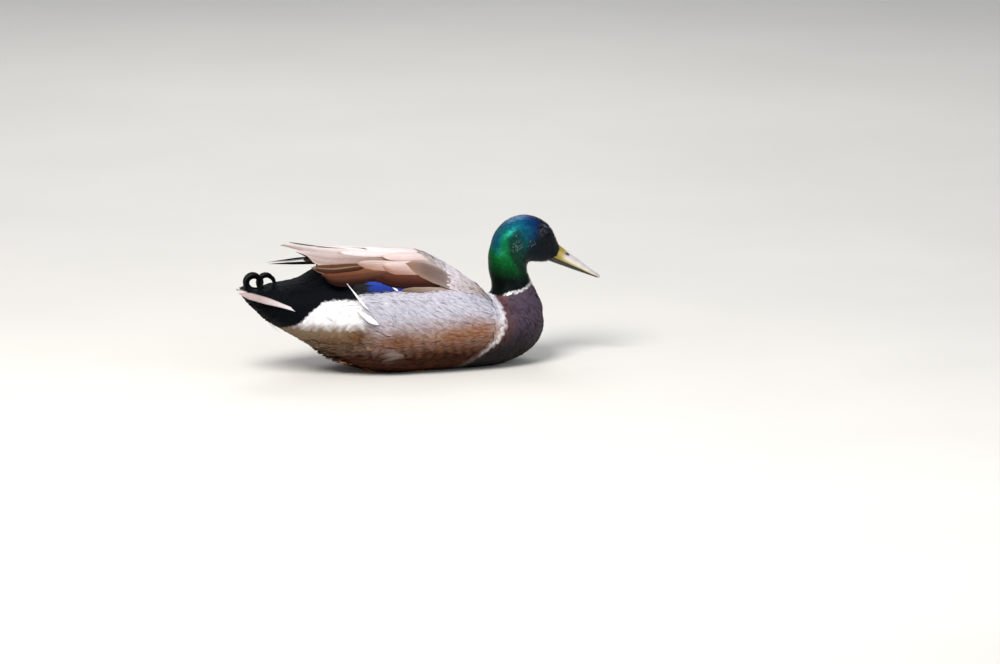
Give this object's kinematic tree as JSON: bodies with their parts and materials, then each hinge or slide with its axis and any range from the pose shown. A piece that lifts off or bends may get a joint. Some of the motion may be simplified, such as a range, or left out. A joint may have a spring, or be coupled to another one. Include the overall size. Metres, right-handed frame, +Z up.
{
  "type": "duck",
  "caption": "Life-size still model of a drake mallard resting on its belly, neck drawn in and bill lowered, with folded wings and curled tail coverts.",
  "frame": {"origin": "on the floor, under the middle of the bird's bounds", "axes": "+X is the way the bird faces, +Y its left side, +Z up"},
  "size_m": [0.405, 0.1379, 0.1542],
  "materials": {
    "flank_plumage": "matt",
    "neck_plumage": "satin",
    "head_plumage": "satin",
    "mantle_plumage": "matt",
    "tertial_plumage": "matt",
    "speculum": "satin",
    "flight_quills": "matt",
    "tail_plumage": "matt",
    "curl_plumage": "satin",
    "bill": "satin",
    "bill_under": "satin",
    "eye": "gloss",
    "foot_skin": "satin"
  },
  "bodies": {
    "root": {"trunk": "flank_plumage", "neck": "neck_plumage", "head": "head_plumage", "wing_right": "mantle_plumage", "wing_left": "mantle_plumage", "tertials_right": "tertial_plumage", "tertials_left": "tertial_plumage", "secondaries_right": "speculum", "secondaries_left": "speculum", "primaries_right": "flight_quills", "primaries_left": "flight_quills", "tail": "tail_plumage", "tail_curl_1": "curl_plumage", "tail_curl_2": "curl_plumage", "tail_curl_3": "curl_plumage", "tail_curl_4": "curl_plumage", "bill_upper": "bill", "bill_lower": "bill_under", "eye_right": "eye", "eye_left": "eye", "foot_right": "foot_skin", "foot_left": "foot_skin", "leg_right": "foot_skin", "leg_left": "foot_skin"}
  },
  "joints": []
}
